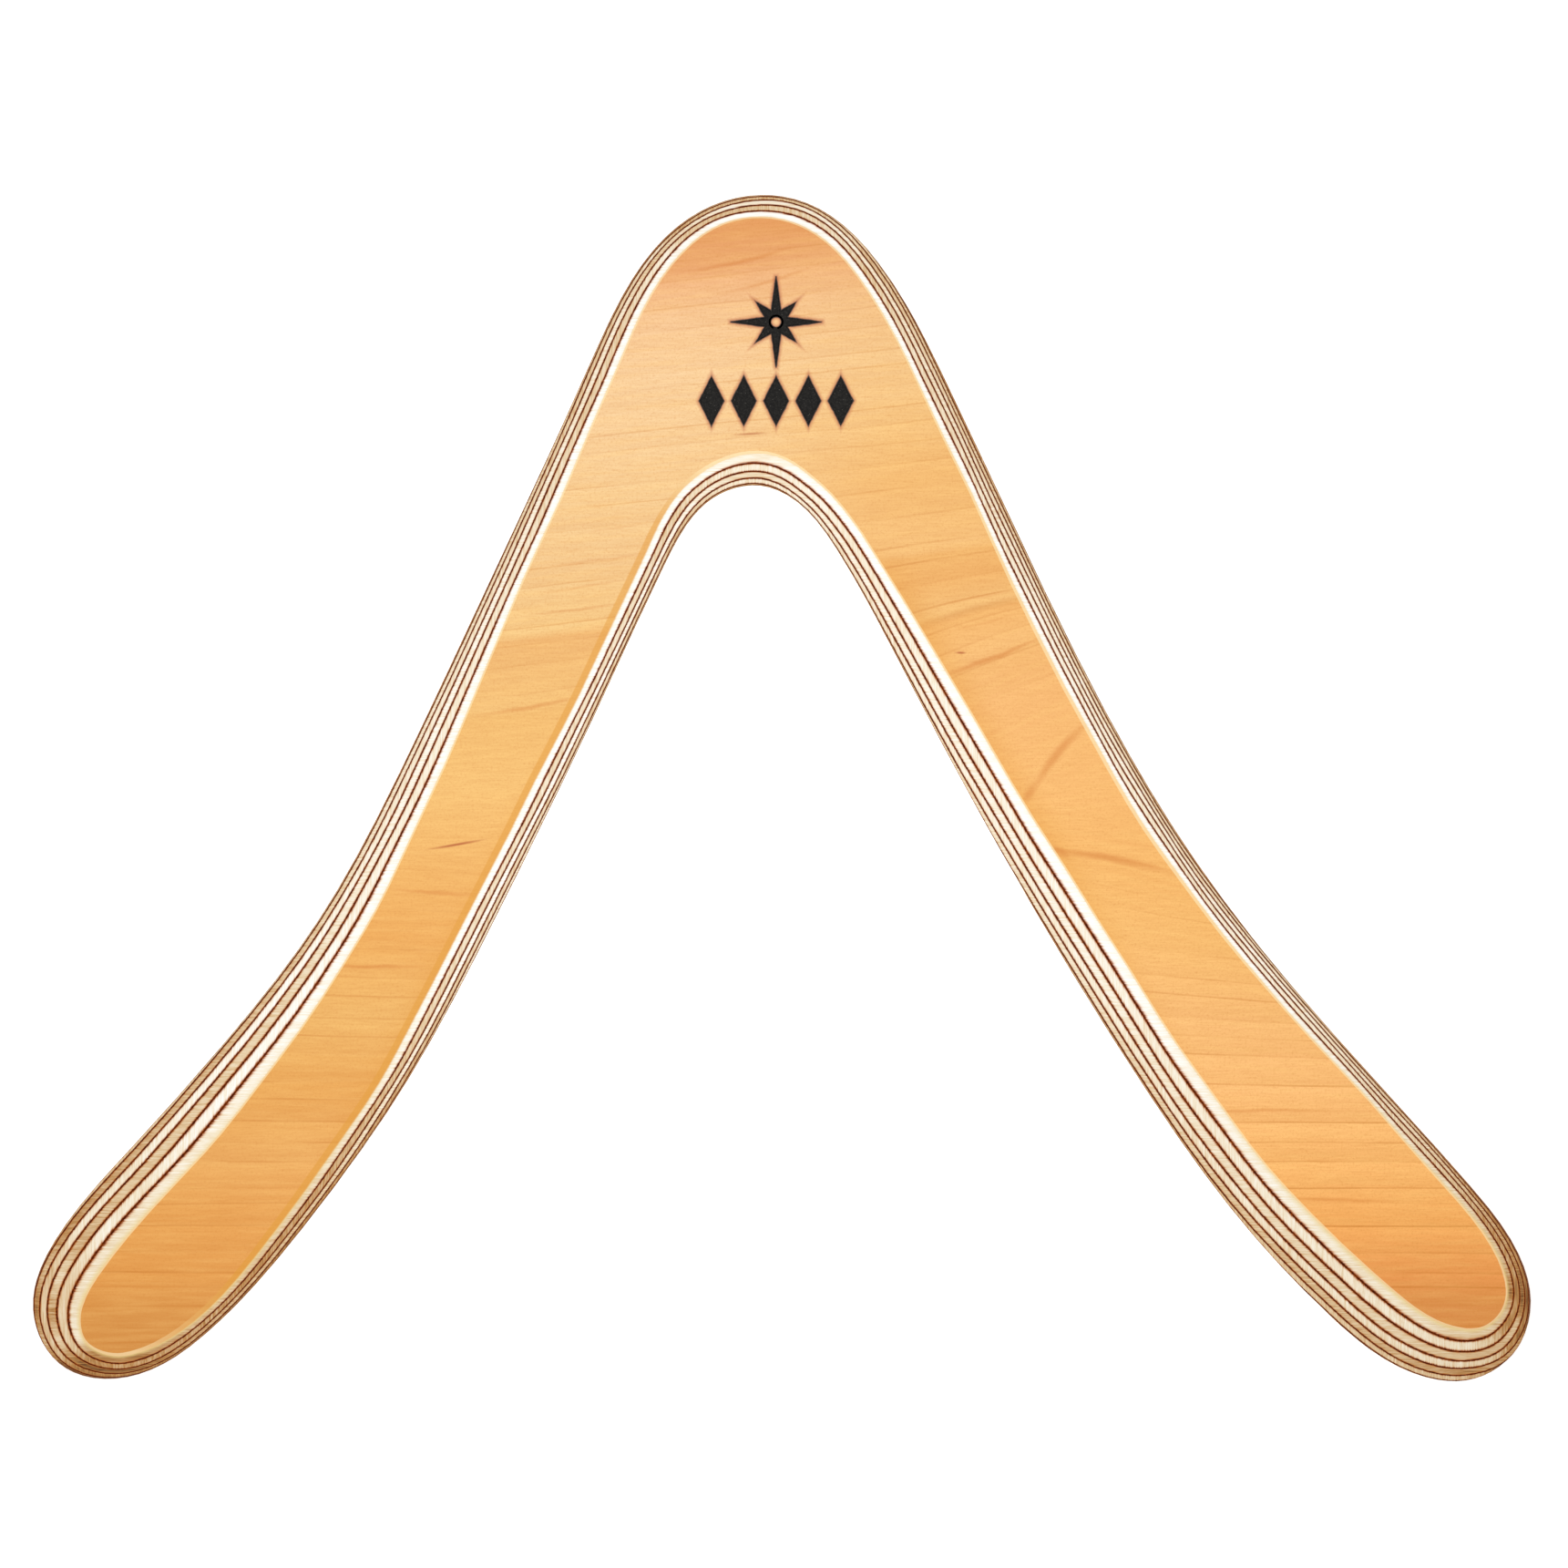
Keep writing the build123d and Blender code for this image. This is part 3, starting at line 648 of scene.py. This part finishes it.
print("burnt ornament")
burnt = {
    "depth": 0.25,  # millimetres that the stamp sinks into the face
    "gap": 0.02,
    "bed": 0.05,  # the char's height above the bottom of the recess, at its edge
    "groove": (0.3, -0.02),  # ring inside the edge, where the stamp's rim pressed hardest
    "crest": (0.35, 0.11),
    "crown": (0.5, -0.03),
    "row": {"count": 5},
    "rose": {"waist": 3.3},
}


def recessFloors():
    # the flat bottoms of the recesses as one merged shape
    floors = bmesh.new()
    floors.from_mesh(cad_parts["face_veneer"].data)
    level = faceHigh.z - burnt["depth"] / 1000
    others = [face for face in floors.faces if max(abs(vert.co.z - level) for vert in face.verts) > 1e-5]
    bmesh.ops.delete(floors, geom=others, context="FACES")
    bmesh.ops.remove_doubles(floors, verts=floors.verts, dist=1e-6)
    return floors


def looseParts(shape):
    # the vertices of each connected part
    left = set(shape.verts)
    parts = []
    while left:
        part, edge = set(), [left.pop()]
        while edge:
            vert = edge.pop()
            part.add(vert)
            for link in vert.link_edges:
                other = link.other_vert(vert)
                if other in left:
                    left.remove(other)
                    edge.append(other)
        parts.append(part)
    return parts


def measureOrnament():
    # the stamp's sizes in millimetres, read off the recesses
    floors = recessFloors()
    figures = []
    for part in looseParts(floors):
        xs, ys = [vert.co.x * 1000 for vert in part], [vert.co.y * 1000 for vert in part]
        figures.append((min(xs), max(xs), min(ys), max(ys), list(zip(xs, ys))))
    figures.sort(key=lambda figure: figure[3])
    row, rose = sorted(figures[:-1]), figures[-1]
    centre = ((rose[0] + rose[1]) / 2, (rose[2] + rose[3]) / 2)
    radii = [math.dist(centre, spot) for spot in rose[4]]
    burnt["rose"].update(centre=centre, long=(rose[1] - rose[0]) / 2, eye=min(radii))
    burnt["rose"]["short"] = max(
        radius for radius, spot in zip(radii, rose[4])
        if abs(abs(spot[0] - centre[0]) - abs(spot[1] - centre[1])) < 0.1
    )
    burnt["row"].update(
        y=(row[0][2] + row[0][3]) / 2,
        width=row[0][1] - row[0][0],
        height=row[0][3] - row[0][2],
        pitch=(row[-1][0] - row[0][0]) / (len(row) - 1),
    )
    floors.free()
    print("rose", burnt["rose"], "row", burnt["row"])


def charLining(name, number):
    # a bed of char in one recess: a groove along the edge, a crest inside it and a sunken middle
    shape = recessFloors()
    roseHeight = burnt["rose"]["centre"][1] / 1000
    row, rose = [], []
    for part in looseParts(shape):
        figure = rose if max(vert.co.y for vert in part) > roseHeight else row
        figure.append(part)
    row.sort(key=lambda part: min(vert.co.x for vert in part))
    keep = (row + rose)[number]
    bmesh.ops.delete(shape, geom=[vert for vert in shape.verts if vert not in keep], context="VERTS")
    bmesh.ops.dissolve_limit(shape, angle_limit=0.02, verts=shape.verts, edges=shape.edges)
    bmesh.ops.recalc_face_normals(shape, faces=shape.faces)
    if shape.faces[0].normal.z < 0:
        bmesh.ops.reverse_faces(shape, faces=shape.faces)
    # the outermost sliver stays free, so that the bed clears the recess's wall
    rim = bmesh.ops.inset_region(
        shape, faces=shape.faces, thickness=burnt["gap"] / 1000, use_boundary=True, use_even_offset=True
    )
    bmesh.ops.delete(shape, geom=rim["faces"], context="FACES")
    top = bmesh.ops.extrude_face_region(shape, geom=shape.faces[:])
    raised = [item for item in top["geom"] if isinstance(item, bmesh.types.BMVert)]
    bmesh.ops.translate(shape, verts=raised, vec=(0, 0, burnt["bed"] / 1000))
    crown = [item for item in top["geom"] if isinstance(item, bmesh.types.BMFace)]
    for step in ("groove", "crest", "crown"):
        width, rise = burnt[step]
        bmesh.ops.inset_region(
            shape, faces=crown, thickness=width / 1000, depth=rise / 1000,
            use_boundary=True, use_even_offset=False
        )
    bmesh.ops.recalc_face_normals(shape, faces=shape.faces)
    mesh = bpy.data.meshes.new(name)
    shape.to_mesh(mesh)
    shape.free()
    piece = bpy.data.objects.new(name, mesh)
    bpy.context.collection.objects.link(piece)
    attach(piece, "root")
    return piece


measureOrnament()
charredWood = charredMaterial()
for number in range(burnt["row"]["count"]):
    charLining(f"charred_lozenge_{number + 1}", number).data.materials.append(charredWood)
charLining("charred_rose", burnt["row"]["count"]).data.materials.append(charredWood)

print("veneers and glue films")
longGrain, crossGrain = sandedBirchMaterial("long"), sandedBirchMaterial("cross")
resinFilm = phenolicMaterial()
dress = {"face_veneer": faceVeneerMaterial(), "back_veneer": backVeneerMaterial()}
for number in range(2, plies["count"]):
    dress[f"core_veneer_{number:02d}"] = longGrain if number % 2 else crossGrain
for number in range(1, plies["count"]):
    dress[f"glue_film_{number:02d}"] = resinFilm
for node, material in dress.items():
    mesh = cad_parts[node].data
    mesh.materials.clear()
    mesh.materials.append(material)

print("finish")
